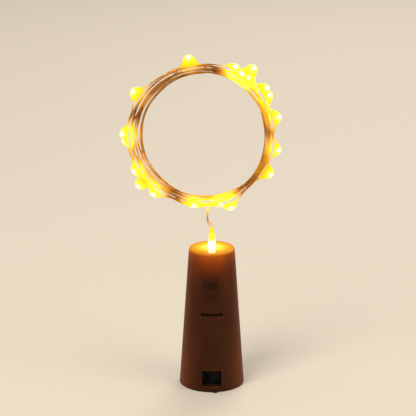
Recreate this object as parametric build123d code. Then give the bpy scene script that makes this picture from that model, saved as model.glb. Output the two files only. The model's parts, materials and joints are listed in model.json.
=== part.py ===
from build123d import *
import os
from math import asin, cos, degrees, floor, hypot, pi, radians, sin, sqrt, tan

# A string light shaped as a bottle cork. A tapered shell holds a battery drawer that slides out of its wide
# end, and a wire string of lamps leaves its narrow end and is wound into an upright ring above it.
# Millimetres, +Z up. The origin is the middle of the base, and the front, with the switch, faces -Y.

# Cork shell
CORK_HEIGHT = 52.6
CORK_BASE_DIAMETER = 24.0
CORK_TOP_DIAMETER = 16.8
SHELL_WALL = 1.3             # measured level, so the bore tapers as the outside does
SHELL_TOP = 1.6
TOP_EDGE_RADIUS = 0.9
BASE_EDGE_RADIUS = 0.4
MOUTH_LEDGE = 0.4            # step in the mouth that the drawer's base seats against
EXIT_HOLE_DIAMETER = 2.2

# Openings in the front of the shell
SLIT_WIDTH = 8.0
SLIT_HEIGHT = 1.1
SLIT_MIDDLE_Z = 29.6
WINDOW_WIDTH = 7.0
WINDOW_HEIGHT = 5.8
WINDOW_MIDDLE_Z = 5.3

# Clearances
SLIDE_CLEARANCE = 0.25       # between the drawer and the shell's bore
FIT_CLEARANCE = 0.1          # between pieces that are pushed together
CONTACT_GAP = 0.05           # between contacts that touch when the drawer is home

# Battery drawer
BASE_THICKNESS = 2.0
TROUGH_WALL = 1.0
TROUGH_ARC = 200.0           # degrees of the cells that the trough goes round
TROUGH_TOP_DROP = 0.4        # the trough ends this far below the top cell
DECK_TOP_Z = 19.6
DECK_THICKNESS = 1.2
NUB_WIDTH = 1.5
NUB_HEIGHT = 0.8
NUB_REACH = 0.6              # how far the pull nub stands out from the shell
NUB_X = 1.2

# Latch tongue
TONGUE_THICKNESS = 0.9
TONGUE_LENGTH = 6.8
TONGUE_ROOT_GAP = 0.2
TONGUE_HEAD = 0.9            # tongue above the middle of the slit
BOSS_HEIGHT = 2.0
BARB_GRIP = 0.35             # how far the barb reaches into the slit
BARB_PLAY = 0.15             # room above and below the barb in the slit
BARB_SIDE_PLAY = 0.35

# Button cells
CELL_COUNT = 3
CELL_DIAMETER = 11.6
CELL_HEIGHT = 5.4
CELL_CLEARANCE = 0.15
CAN_WALL = 0.3
LID_RIM = 1.1                # from the can's outside to the lid
LID_PROUD = 0.25
LID_DEPTH = 1.4

# Contact strips
STRIP_THICKNESS = 0.3
STRIP_BEND = 0.6
SPRING_HEIGHT = 2.5
SPRING_WIDTH = 3.0
SPRING_BACK_Y = 4.2
SPRING_TIP_Y = -2.0
RETURN_WIDTH = 2.4
RETURN_FLANGE = 1.6
WIPER_OVERLAP = 4.0          # length over which the wiper lies against the return strip
WIPER_LEG = 3.4
TAB_WIDTH = 6.1
TAB_HEIGHT = 4.3
PLATE_BACK_Y = 3.5

# Contact carrier
CARRIER_FLOOR = 1.2
CARRIER_HEIGHT = 5.8
CARRIER_WALL = 1.0

# Slide switch
SWITCH_WIDTH = 9.4
SWITCH_HEIGHT = 5.8
SWITCH_DEPTH = 3.6
SWITCH_WALL = 0.8
SWITCH_BASE_THICKNESS = 0.8
CRADLE_WALL = 1.0
TERMINAL_PITCH = 2.5
TERMINAL_WIDTH = 0.8
TERMINAL_THICKNESS = 0.4
TERMINAL_LENGTH = 2.0        # behind the switch
TERMINAL_HEAD = 0.3          # inside the switch
KNOB_WIDTH = 3.4
KNOB_HEIGHT = 3.8
KNOB_TRAVEL = 2.4
KNOB_RIDGES = 3
KNOB_RIDGE_DEPTH = 0.2
STEM_SIDE = 1.6
STEM_PLAY = 0.15
FLANGE_SIDE = 3.5
FLANGE_THICKNESS = 0.7
CLIP_THICKNESS = 0.2
CLIP_WIDTH = 2.4

# Wires inside the cork
HOOKUP_DIAMETER = 0.8
HOOKUP_SPACING = 1.6
SOLDER_DROP = 0.8            # from the top of the tab down to the middle of the wire on it
GLUE_DIAMETER = 6.0
GLUE_HEIGHT = 2.0

# Lamp at the exit
EXIT_DROP_DIAMETER = 2.9
EXIT_DROP_HEIGHT = 3.4
EXIT_TAIL_HEIGHT = 3.8
EXIT_TAIL_DIAMETER = 0.9

# String of lamps
WIRE_DIAMETER = 0.6
RING_OUTER_RADIUS = 26.5     # to the middle of the wire
RING_CENTRE_X = -3.85
RING_CENTRE_RISE = 42.1      # above the top of the cork
RING_START = -74.0           # degrees, anticlockwise from +X as seen from the front
TURNS_PER_LAYER = 3
LAYER_COUNT = 4
TURN_PITCH = 1.1
LAYER_PITCH = 1.1
DROP_RADIUS = 1.2
DROP_TAIL_RADIUS = 0.45
CHIP_SIZE = (0.9, 0.7, 0.8)

# Lamps on the ring, in the order of the wire: degrees anticlockwise from +X, and how far each stands out
# from the outer turns. The first half of the winding lies in front of the second.
FRONT_LAMPS = [
    (146.1, 2.7), (14.5, 2.4), (-128.0, 1.5), (98.0, 3.3), (-11.0, 2.0), (-150.4, 1.1), (52.8, 1.1),
    (-68.0, 2.9), (178.8, 1.8),
]
BACK_LAMPS = [
    (37.5, 3.2), (-95.4, 1.0), (59.4, 1.0), (31.1, 2.5), (-138.6, 2.8), (54.0, 5.4), (-30.8, 2.6),
    (-175.9, 1.4), (64.5, 2.6), (-74.6, 1.0),
]

# Lead from the exit lamp to the ring: points between its two ends, from the top of the exit lamp
LEAD_POINTS = [(0.25, -0.15, 2.0), (-1.0, -0.8, 4.7)]
LEAD_CORNER_X = -0.95        # where the lead turns into the ring

# Places worked out from the sizes above
base_radius = CORK_BASE_DIAMETER / 2
top_radius = CORK_TOP_DIAMETER / 2
mouth_radius = base_radius - SHELL_WALL + MOUTH_LEDGE
ceiling_z = CORK_HEIGHT - SHELL_TOP
cell_radius = CELL_DIAMETER / 2
cell_floor_z = DECK_TOP_Z + SPRING_HEIGHT
cell_top_z = cell_floor_z + CELL_COUNT * CELL_HEIGHT
trough_inner = cell_radius + CELL_CLEARANCE
trough_outer = trough_inner + TROUGH_WALL
trough_top_z = cell_top_z - TROUGH_TOP_DROP
plate_z = cell_top_z + CONTACT_GAP
carrier_z = plate_z + STRIP_THICKNESS
carrier_top_z = carrier_z + CARRIER_HEIGHT
switch_low_z = WINDOW_MIDDLE_Z - SWITCH_HEIGHT / 2
switch_high_z = WINDOW_MIDDLE_Z + SWITCH_HEIGHT / 2


def outer_radius(z):
    return base_radius + (top_radius - base_radius) * z / CORK_HEIGHT


def bore_radius(z):
    return outer_radius(z) - SHELL_WALL


def chord(radius, half_width):
    return sqrt(radius**2 - half_width**2)


switch_front_y = -chord(bore_radius(switch_high_z) - SLIDE_CLEARANCE, SWITCH_WIDTH / 2)
switch_back_y = switch_front_y + SWITCH_DEPTH
switch_base_y = switch_back_y + SWITCH_BASE_THICKNESS
terminal_tip_y = switch_base_y + TERMINAL_LENGTH
strip_y = terminal_tip_y + STRIP_THICKNESS / 2
wiper_top_z = carrier_z + CARRIER_FLOOR + STRIP_THICKNESS
wiper_foot_z = trough_top_z - WIPER_OVERLAP
wiper_x = STRIP_THICKNESS / 2 - chord(bore_radius(wiper_top_z) - FIT_CLEARANCE, RETURN_WIDTH / 2)
return_x = wiper_x + STRIP_THICKNESS + CONTACT_GAP
knob_reach = (KNOB_WIDTH + KNOB_TRAVEL) / 2
knob_tip_y = -chord(bore_radius(WINDOW_MIDDLE_Z + KNOB_HEIGHT / 2) - SLIDE_CLEARANCE, knob_reach)
knob_x = KNOB_TRAVEL / 2
tab_z = plate_z + TAB_HEIGHT
tab_y = -chord(bore_radius(tab_z) - FIT_CLEARANCE, TAB_WIDTH / 2) + STRIP_THICKNESS / 2
glue_z = ceiling_z - GLUE_HEIGHT
ring_centre_z = CORK_HEIGHT + RING_CENTRE_RISE
exit_tip = Vector(0, 0, CORK_HEIGHT + EXIT_DROP_HEIGHT + EXIT_TAIL_HEIGHT)
total_turns = TURNS_PER_LAYER * LAYER_COUNT
barb_tip_radius = bore_radius(SLIT_MIDDLE_Z) + BARB_GRIP
tongue_top_z = SLIT_MIDDLE_Z + TONGUE_HEAD
tongue_low_z = tongue_top_z - TONGUE_LENGTH
tongue_half_angle = degrees(asin((SLIT_WIDTH / 2 - BARB_SIDE_PLAY) / barb_tip_radius))


# Shapes that several pieces share
def block(x, y, z):
    """A box from its lowest to its highest place along each axis."""
    size = Box(x[1] - x[0], y[1] - y[0], z[1] - z[0], align=(Align.MIN, Align.MIN, Align.MIN))
    return Pos(x[0], y[0], z[0]) * size


def turned(outline, arc=360.0):
    """A closed outline of (radius, height) points turned about the axis, with its middle at the front."""
    face = Plane.XZ * make_face(Polyline(*outline, close=True))
    return Rot(Z=-90 - arc / 2) * revolve(face, Axis.Z, arc)


def bore_plug(low, high, inset):
    """A plug that follows the shell's bore at an inset."""
    outline = [(0, low), (bore_radius(low) - inset, low), (bore_radius(high) - inset, high), (0, high)]
    return turned(outline)


def strip(plane, points, width):
    """A bent strip of the contact metal, along points on a plane, with its width across that plane."""
    line = FilletPolyline(*points, radius=STRIP_BEND)
    return extrude(plane * trace(line, line_width=STRIP_THICKNESS), width / 2, both=True)


def tube(path, diameter):
    """A round wire along a path."""
    start = Plane(path.position_at(0), z_dir=path.tangent_at(0))
    return sweep(start * Circle(diameter / 2), path)


def bent_path(points):
    """Straight runs joined by arcs, each as large as its two runs allow."""
    radii = []
    for before, corner, after in zip(points, points[1:], points[2:]):
        half_turn = radians((corner - before).get_angle(after - corner)) / 2
        shorter = min((corner - before).length, (after - corner).length)
        radii.append(0.45 * shorter / tan(half_turn))
    return FilletPolyline(*points, radius=radii), radii


# Cork shell
def make_cork_shell():
    hole = EXIT_HOLE_DIAMETER / 2
    outline = [
        (mouth_radius, 0), (base_radius, 0), (top_radius, CORK_HEIGHT), (hole, CORK_HEIGHT),
        (hole, ceiling_z), (bore_radius(ceiling_z), ceiling_z),
        (bore_radius(BASE_THICKNESS), BASE_THICKNESS), (mouth_radius, BASE_THICKNESS),
    ]
    shell = turned(outline)
    rims = shell.edges().filter_by(GeomType.CIRCLE)
    shell = fillet([e for e in rims if abs(e.radius - top_radius) < 1e-6], TOP_EDGE_RADIUS)
    rims = shell.edges().filter_by(GeomType.CIRCLE)
    shell = fillet([e for e in rims if abs(e.radius - base_radius) < 1e-6], BASE_EDGE_RADIUS)
    front = (-2 * base_radius, 0)
    slit = SLIT_WIDTH / 2
    shell -= block((-slit, slit), front,
                   (SLIT_MIDDLE_Z - SLIT_HEIGHT / 2, SLIT_MIDDLE_Z + SLIT_HEIGHT / 2))
    side = WINDOW_WIDTH / 2
    shell -= block((-side, side), front,
                   (WINDOW_MIDDLE_Z - WINDOW_HEIGHT / 2, WINDOW_MIDDLE_Z + WINDOW_HEIGHT / 2))
    notch = NUB_WIDTH / 2 + SLIDE_CLEARANCE
    shell -= block((NUB_X - notch, NUB_X + notch), front, (0, NUB_HEIGHT + SLIDE_CLEARANCE))
    return shell


# Contacts that stay in the cork
def make_contact_carrier():
    carrier = bore_plug(carrier_z, carrier_top_z, FIT_CLEARANCE)
    carrier -= bore_plug(carrier_z + CARRIER_FLOOR, carrier_top_z, FIT_CLEARANCE + CARRIER_WALL)
    tab_half = TAB_WIDTH / 2 + FIT_CLEARANCE
    tab_room = tab_y + max(STRIP_BEND, HOOKUP_DIAMETER / 2) + FIT_CLEARANCE
    carrier -= block((-tab_half, tab_half), (-base_radius, tab_room), (carrier_z, carrier_top_z))
    wiper_half = RETURN_WIDTH / 2 + FIT_CLEARANCE
    wiper_room = wiper_x + STRIP_THICKNESS / 2 + max(STRIP_BEND, CARRIER_WALL) + FIT_CLEARANCE
    carrier -= block((-base_radius, wiper_room), (-wiper_half, wiper_half),
                     (carrier_z, wiper_top_z + FIT_CLEARANCE))
    return carrier


def make_upper_contact():
    level = plate_z + STRIP_THICKNESS / 2
    return strip(Plane.YZ, [(PLATE_BACK_Y, level), (tab_y, level), (tab_y, tab_z)], TAB_WIDTH)


def make_wiper_blade():
    level = wiper_top_z - STRIP_THICKNESS / 2
    points = [(wiper_x + WIPER_LEG, level), (wiper_x, level), (wiper_x, wiper_foot_z)]
    return strip(Plane.XZ, points, RETURN_WIDTH)


def make_plus_wire():
    """From the back of the upper contact's tab to the glue."""
    x = HOOKUP_SPACING / 2
    level = tab_z - SOLDER_DROP
    points = [(x, tab_y + STRIP_THICKNESS / 2, level), (x, 0, level), (x, 0, glue_z)]
    return tube(bent_path([Vector(*p) for p in points])[0], HOOKUP_DIAMETER)


def make_minus_wire():
    """From the leg of the wiper blade to the glue."""
    start_x = wiper_x + WIPER_LEG - HOOKUP_DIAMETER
    end_x = -HOOKUP_SPACING / 2
    level = (wiper_top_z + glue_z) / 2
    points = [(start_x, 0, wiper_top_z), (start_x, 0, level), (end_x, 0, level), (end_x, 0, glue_z)]
    return tube(bent_path([Vector(*p) for p in points])[0], HOOKUP_DIAMETER)


def make_glue_plug():
    upward = (Align.CENTER, Align.CENTER, Align.MIN)
    plug = Pos(Z=glue_z) * Cylinder(GLUE_DIAMETER / 2, GLUE_HEIGHT, align=upward)
    return fillet(plug.edges().group_by(Axis.Z)[0], GLUE_HEIGHT / 4)


# Lamp at the exit
def chip_block():
    return Box(*CHIP_SIZE)


def make_exit_lamp():
    """The epoxy drop on the cork, with its stem in the exit hole, and the lamp chip sealed in it."""
    stem = EXIT_HOLE_DIAMETER / 2 - FIT_CLEARANCE
    head = EXIT_DROP_DIAMETER / 2
    shoulder_z = CORK_HEIGHT + EXIT_DROP_HEIGHT
    tail = EXIT_TAIL_DIAMETER / 2
    outline = [(0, ceiling_z), (stem, ceiling_z), (stem, CORK_HEIGHT), (head, CORK_HEIGHT),
               (head, shoulder_z), (tail, exit_tip.Z), (0, exit_tip.Z)]
    drop = turned(outline)
    rims = drop.edges().filter_by(GeomType.CIRCLE)
    shoulder = [e for e in rims if abs(e.radius - head) < 1e-6 and e.center().Z > CORK_HEIGHT + head]
    drop = fillet(shoulder, head)
    chip = Pos(Z=CORK_HEIGHT + EXIT_DROP_HEIGHT / 2) * chip_block()
    return drop - chip, chip


# String of lamps
def ring_place(turns):
    """The middle of the wire after some turns: the spiral goes in and out, and climbs as it reverses."""
    layer = min(floor(turns / TURNS_PER_LAYER), LAYER_COUNT - 1)
    along = turns - layer * TURNS_PER_LAYER
    inward = along if layer % 2 == 0 else TURNS_PER_LAYER - along
    radius = RING_OUTER_RADIUS - TURN_PITCH * inward
    climbed = 0.0
    for reversal in range(TURNS_PER_LAYER, total_turns, TURNS_PER_LAYER):
        climbed += min(1.0, max(0.0, 2 * (turns - reversal) + 0.5))
    angle = radians(RING_START + 360 * turns)
    depth = LAYER_PITCH * (climbed - (LAYER_COUNT - 1) / 2)
    return Vector(RING_CENTRE_X + radius * cos(angle), depth, ring_centre_z + radius * sin(angle))


def ring_heading(turns):
    """The way that the wire runs there: between two places close by, or at an end, straight round."""
    if 0 < turns < total_turns:
        return (ring_place(turns + 1 / 8) - ring_place(turns - 1 / 8)).normalized()
    angle = radians(RING_START + 360 * turns)
    return Vector(-sin(angle), 0, cos(angle))


def biarc(start, heading, finish, final_heading):
    """Two arcs that join two places, with a given heading at each."""
    reach = finish - start
    both = heading + final_heading
    spread = 2 * (1 - heading.dot(final_heading))
    along = reach.dot(both)
    arm = (sqrt(along**2 + spread * reach.dot(reach)) - along) / spread
    joint = (start + finish + (heading - final_heading) * arm) / 2
    first = Edge.make_tangent_arc(start, heading, joint)
    return [first, Edge.make_tangent_arc(joint, first.tangent_at(1), finish)]


def ring_path():
    """The whole winding, in arcs of an eighth of a turn, with a straight end of one diameter."""
    marks = [n / 4 for n in range(4 * total_turns + 1)]
    edges = [Edge.make_line(ring_start(), ring_place(0))]
    for here, there in zip(marks, marks[1:]):
        edges += biarc(ring_place(here), ring_heading(here), ring_place(there), ring_heading(there))
    finish = ring_place(total_turns)
    edges.append(Edge.make_line(finish, finish + ring_heading(total_turns) * WIRE_DIAMETER))
    return Wire(edges)


def ring_start():
    return ring_place(0) - ring_heading(0) * WIRE_DIAMETER


def least_gap(path):
    """The least room between two stretches of the winding, measured on points half a millimetre apart."""
    points = []
    for edge in path.edges():
        count = max(2, round(edge.length * 2))
        points += [edge.position_at(n / count) for n in range(count)]
    skip = round(4 * TURN_PITCH * 2)
    least = RING_OUTER_RADIUS
    for n, here in enumerate(points):
        for there in points[n + skip:]:
            if abs(here.X - there.X) < least and abs(here.Z - there.Z) < least:
                least = min(least, (here - there).length)
    return least - WIRE_DIAMETER


def make_string_coil():
    path = ring_path()
    coil = tube(path, WIRE_DIAMETER)
    print(f"string coil: {path.length:.1f} mm, least gap {least_gap(path):.3f} mm, volume against section"
          f" times length {coil.volume / (path.length * pi * WIRE_DIAMETER**2 / 4):.4f}")
    return coil


def make_string_lead():
    """From the tip of the exit lamp up to the ring, in front of the other turns."""
    finish = ring_start()
    heading = ring_heading(0)
    corner = finish - heading * ((finish.X - LEAD_CORNER_X) / heading.X)
    points = [exit_tip] + [exit_tip + Vector(*p) for p in LEAD_POINTS] + [corner, finish]
    path, radii = bent_path(points)
    lead = tube(path, WIRE_DIAMETER)
    print(f"string lead: {path.length:.1f} mm, radii {[round(r, 2) for r in radii]}, volume against section"
          f" times length {lead.volume / (path.length * pi * WIRE_DIAMETER**2 / 4):.4f}")
    return lead


def outer_wire(angle, at_front):
    """The outermost wire at an angle: its radius and its depth, on the front or the back half of the ring."""
    part_turn = ((angle - RING_START) % 360) / 360
    spiral_in = part_turn < 0.5
    layer = (0 if spiral_in else 1) if at_front else (2 if spiral_in else 3)
    turns = layer * TURNS_PER_LAYER + part_turn + (0 if spiral_in else TURNS_PER_LAYER - 1)
    place = ring_place(turns)
    return hypot(place.X - RING_CENTRE_X, place.Z - ring_centre_z), place.Y


def make_ring_lamps():
    """The epoxy drops stand on the outer turns of the front and the back half, each with its chip."""
    drops = []
    chips = []
    lamps = [(lamp, True) for lamp in FRONT_LAMPS] + [(lamp, False) for lamp in BACK_LAMPS]
    for (angle, stand_out), at_front in lamps:
        seat, depth = outer_wire(angle, at_front)
        outward = Vector(cos(radians(angle)), 0, sin(radians(angle)))
        place = Vector(RING_CENTRE_X, depth, ring_centre_z) + outward * seat
        frame = Plane(place, x_dir=(0, 1, 0), z_dir=outward)
        side = Polyline((0, stand_out), (0, 0), (DROP_TAIL_RADIUS, 0), (DROP_RADIUS, stand_out))
        cap = CenterArc((0, stand_out), DROP_RADIUS, 0, 90)
        close = Line((0, stand_out + DROP_RADIUS), (0, stand_out))
        drop = revolve(Plane.XZ * make_face([side, cap, close]), Axis.Z)
        chip = Pos(Z=stand_out) * chip_block()
        drops.append(frame * (drop - chip))
        chips.append(frame * chip)
    return Compound(children=drops), Compound(children=chips)


# Battery drawer
def make_battery_drawer():
    trough = turned([(trough_inner, BASE_THICKNESS), (trough_outer, BASE_THICKNESS),
                     (trough_outer, trough_top_z), (trough_inner, trough_top_z)], TROUGH_ARC)
    deck = bore_plug(DECK_TOP_Z - DECK_THICKNESS, DECK_TOP_Z, SLIDE_CLEARANCE)
    boss_top = tongue_low_z - TONGUE_ROOT_GAP
    boss_mid = (trough_inner + trough_outer) / 2
    boss = turned([(boss_mid, boss_top - BOSS_HEIGHT), (base_radius, boss_top - BOSS_HEIGHT),
                   (base_radius, boss_top), (boss_mid, boss_top)], 2 * tongue_half_angle)
    cheek = SWITCH_WIDTH / 2 + FIT_CLEARANCE + CRADLE_WALL
    cradle_top = switch_high_z + FIT_CLEARANCE + CRADLE_WALL
    cradle = block((-cheek, cheek), (-base_radius, switch_base_y + CRADLE_WALL), (BASE_THICKNESS, cradle_top))
    body = trough + deck + boss + cradle
    body &= bore_plug(BASE_THICKNESS, trough_top_z, SLIDE_CLEARANCE)

    pocket = SWITCH_WIDTH / 2 + FIT_CLEARANCE
    body -= block((-pocket, pocket), (-base_radius, switch_base_y),
                  (switch_low_z - FIT_CLEARANCE, switch_high_z + FIT_CLEARANCE))
    pins = TERMINAL_PITCH + TERMINAL_WIDTH / 2 + FIT_CLEARANCE
    pin_rise = RETURN_FLANGE / 2 + FIT_CLEARANCE
    body -= block((-pins, pins), (switch_back_y, switch_base_y + 2 * CRADLE_WALL),
                  (WINDOW_MIDDLE_Z - pin_rise, WINDOW_MIDDLE_Z + pin_rise))
    strip_room = STRIP_THICKNESS / 2 + FIT_CLEARANCE
    body -= block((return_x - strip_room, 0), (strip_y - strip_room, strip_y + strip_room),
                  (WINDOW_MIDDLE_Z - pin_rise, WINDOW_MIDDLE_Z + pin_rise))
    side = RETURN_WIDTH / 2 + FIT_CLEARANCE
    strip_back = return_x + STRIP_THICKNESS / 2
    body -= block((return_x - strip_room, strip_back), (-side, side), (BASE_THICKNESS, trough_top_z))
    body -= block((-base_radius, strip_back), (-side, side), (wiper_foot_z - FIT_CLEARANCE, trough_top_z))
    tail = SPRING_WIDTH / 2 + FIT_CLEARANCE
    body -= block((-tail, tail), (strip_y - strip_room, strip_y + STRIP_BEND + strip_room),
                  (DECK_TOP_Z - DECK_THICKNESS, DECK_TOP_Z))
    tongue_back = bore_radius(tongue_top_z) - SLIDE_CLEARANCE - TONGUE_THICKNESS
    press_room = tongue_back - BARB_GRIP - FIT_CLEARANCE
    side_room = degrees(SLIDE_CLEARANCE / barb_tip_radius)
    body -= turned([(press_room, boss_top), (base_radius, boss_top), (base_radius, trough_top_z),
                    (press_room, trough_top_z)], 2 * (tongue_half_angle + side_room))

    upward = (Align.CENTER, Align.CENTER, Align.MIN)
    plate = Cylinder(mouth_radius - SLIDE_CLEARANCE, BASE_THICKNESS, align=upward)
    nub_front = -chord(base_radius, NUB_X) - NUB_REACH
    nub = block((NUB_X - NUB_WIDTH / 2, NUB_X + NUB_WIDTH / 2), (nub_front, 0), (0, NUB_HEIGHT))
    return body + plate + nub


def make_latch_tongue():
    """A springy tongue behind the slit, with a barb that is flat below and sloped above."""
    def face_radius(z):
        return bore_radius(z) - SLIDE_CLEARANCE

    barb_low = SLIT_MIDDLE_Z - SLIT_HEIGHT / 2 + BARB_PLAY
    barb_high = SLIT_MIDDLE_Z + SLIT_HEIGHT / 2 - BARB_PLAY
    low_radius = face_radius(tongue_low_z)
    top_face = face_radius(tongue_top_z)
    outline = [
        (low_radius - TONGUE_THICKNESS, tongue_low_z), (low_radius, tongue_low_z),
        (face_radius(barb_low), barb_low), (barb_tip_radius, barb_low), (barb_tip_radius, SLIT_MIDDLE_Z),
        (face_radius(barb_high), barb_high), (top_face, tongue_top_z),
        (top_face - TONGUE_THICKNESS, tongue_top_z),
    ]
    return turned(outline, 2 * tongue_half_angle)


# Button cells, each with its flat side up
def make_cell_can():
    inside = cell_radius - CAN_WALL
    can = turned([(0, CELL_HEIGHT - CAN_WALL), (inside, CELL_HEIGHT - CAN_WALL), (inside, LID_PROUD),
                  (cell_radius, LID_PROUD), (cell_radius, CELL_HEIGHT), (0, CELL_HEIGHT)])
    rims = can.edges().filter_by(GeomType.CIRCLE).group_by(Axis.Z)[-1]
    return fillet(rims, CAN_WALL)


def make_cell_seal():
    lid = cell_radius - LID_RIM
    can = cell_radius - CAN_WALL
    return turned([(lid, LID_PROUD), (can, LID_PROUD), (can, LID_DEPTH), (lid, LID_DEPTH)])


def make_cell_lid():
    lid = cell_radius - LID_RIM
    inside = lid - CAN_WALL
    return turned([(0, 0), (lid, 0), (lid, LID_DEPTH), (inside, LID_DEPTH), (inside, CAN_WALL),
                   (0, CAN_WALL)])


# Contacts on the drawer
def make_lower_contact():
    """A springy strip under the cells, with a tail down to the middle terminal of the switch."""
    low = DECK_TOP_Z + STRIP_THICKNESS / 2
    high = cell_floor_z - STRIP_THICKNESS / 2
    foot = WINDOW_MIDDLE_Z - RETURN_FLANGE / 2
    points = [(SPRING_TIP_Y, high), (SPRING_BACK_Y, high), (SPRING_BACK_Y, low), (strip_y, low),
              (strip_y, foot)]
    return strip(Plane.YZ, points, SPRING_WIDTH)


def make_return_strip():
    """From the side terminal of the switch round to the drawer's side, and up to the wiper blade."""
    near = TERMINAL_WIDTH / 2 - TERMINAL_PITCH
    half = RETURN_WIDTH / 2
    level = Plane.XY.offset(WINDOW_MIDDLE_Z)
    flange = strip(level, [(near, strip_y), (return_x, strip_y), (return_x, half)], RETURN_FLANGE)
    sides = (return_x - STRIP_THICKNESS / 2, return_x + STRIP_THICKNESS / 2)
    riser = block(sides, (-half, half), (WINDOW_MIDDLE_Z - RETURN_FLANGE / 2, trough_top_z))
    return flange + riser


# Slide switch
def make_switch_frame():
    half = SWITCH_WIDTH / 2
    frame = block((-half, half), (switch_front_y, switch_back_y), (switch_low_z, switch_high_z))
    inner = half - SWITCH_WALL
    frame -= block((-inner, inner), (switch_front_y + SWITCH_WALL, switch_back_y),
                   (switch_low_z + SWITCH_WALL, switch_high_z - SWITCH_WALL))
    slot = (STEM_SIDE + KNOB_TRAVEL) / 2 + STEM_PLAY
    rise = STEM_SIDE / 2 + STEM_PLAY
    frame -= block((-slot, slot), (switch_front_y, switch_front_y + SWITCH_WALL),
                   (WINDOW_MIDDLE_Z - rise, WINDOW_MIDDLE_Z + rise))
    return frame


def terminal_blades():
    """The three blades, which go through the switch base."""
    half = TERMINAL_WIDTH / 2
    rise = TERMINAL_THICKNESS / 2
    return [block((x - half, x + half), (switch_back_y - TERMINAL_HEAD, terminal_tip_y),
                  (WINDOW_MIDDLE_Z - rise, WINDOW_MIDDLE_Z + rise))
            for x in (-TERMINAL_PITCH, 0, TERMINAL_PITCH)]


def make_switch_base():
    half = SWITCH_WIDTH / 2
    base = block((-half, half), (switch_back_y, switch_base_y), (switch_low_z, switch_high_z))
    for blade in terminal_blades():
        base -= blade
    return base


def make_switch_knob():
    """A ridged pad behind the window, a stem through the slot, and a flange inside the switch."""
    pad_back = switch_front_y - STEM_PLAY
    width = (knob_x - KNOB_WIDTH / 2, knob_x + KNOB_WIDTH / 2)
    rise = (WINDOW_MIDDLE_Z - KNOB_HEIGHT / 2, WINDOW_MIDDLE_Z + KNOB_HEIGHT / 2)
    knob = block(width, (knob_tip_y, pad_back), rise)
    step = KNOB_WIDTH / (2 * KNOB_RIDGES + 1)
    for ridge in range(KNOB_RIDGES):
        groove = width[0] + step * (2 * ridge + 1)
        knob -= block((groove, groove + step), (knob_tip_y, knob_tip_y + KNOB_RIDGE_DEPTH), rise)
    inside_y = switch_front_y + SWITCH_WALL + STEM_PLAY
    stem = STEM_SIDE / 2
    knob += block((knob_x - stem, knob_x + stem), (pad_back, inside_y),
                  (WINDOW_MIDDLE_Z - stem, WINDOW_MIDDLE_Z + stem))
    flange = FLANGE_SIDE / 2
    knob += block((knob_x - flange, knob_x + flange), (inside_y, inside_y + FLANGE_THICKNESS),
                  (WINDOW_MIDDLE_Z - flange, WINDOW_MIDDLE_Z + flange))
    return knob


def make_slider_clip():
    """A bent bridge on the flange of the knob, which joins two of the terminals."""
    back = switch_front_y + SWITCH_WALL + STEM_PLAY + FLANGE_THICKNESS + CLIP_THICKNESS / 2
    touch = switch_back_y - TERMINAL_HEAD - CONTACT_GAP - CLIP_THICKNESS / 2
    half = FLANGE_SIDE / 2
    points = [(knob_x - half, touch), (knob_x - half / 2, back), (knob_x + half / 2, back),
              (knob_x + half, touch)]
    line = FilletPolyline(*points, radius=CLIP_THICKNESS)
    level = Plane.XY.offset(WINDOW_MIDDLE_Z)
    return extrude(level * trace(line, line_width=CLIP_THICKNESS), CLIP_WIDTH / 2, both=True)


# All the pieces, by name
def make_pieces():
    exit_drop, exit_chip = make_exit_lamp()
    ring_drops, ring_chips = make_ring_lamps()
    pieces = {
        "cork_shell": make_cork_shell(),
        "contact_carrier": make_contact_carrier(),
        "upper_contact": make_upper_contact(),
        "wiper_blade": make_wiper_blade(),
        "plus_wire": make_plus_wire(),
        "minus_wire": make_minus_wire(),
        "glue_plug": make_glue_plug(),
        "exit_lamp_drop": exit_drop,
        "exit_lamp_chip": exit_chip,
        "string_lead": make_string_lead(),
        "string_coil": make_string_coil(),
        "ring_lamp_drops": ring_drops,
        "ring_lamp_chips": ring_chips,
        "battery_drawer": make_battery_drawer(),
        "latch_tongue": make_latch_tongue(),
        "lower_contact": make_lower_contact(),
        "return_strip": make_return_strip(),
        "switch_frame": make_switch_frame(),
        "switch_base": make_switch_base(),
        "switch_terminals": Compound(children=terminal_blades()),
        "switch_knob": make_switch_knob(),
        "slider_clip": make_slider_clip(),
    }
    for number in range(CELL_COUNT):
        place = Pos(Z=cell_floor_z + number * CELL_HEIGHT)
        pieces[f"cell_{number + 1}_can"] = place * make_cell_can()
        pieces[f"cell_{number + 1}_seal"] = place * make_cell_seal()
        pieces[f"cell_{number + 1}_lid"] = place * make_cell_lid()
    return pieces


os.makedirs("parts", exist_ok=True)
for name, piece in make_pieces().items():
    export_step(piece, f"parts/{name}.step")
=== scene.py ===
import json
from collections import namedtuple
from math import cos, pi, radians, sin

import bmesh
import bpy
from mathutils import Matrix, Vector
from mathutils.kdtree import KDTree


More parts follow.
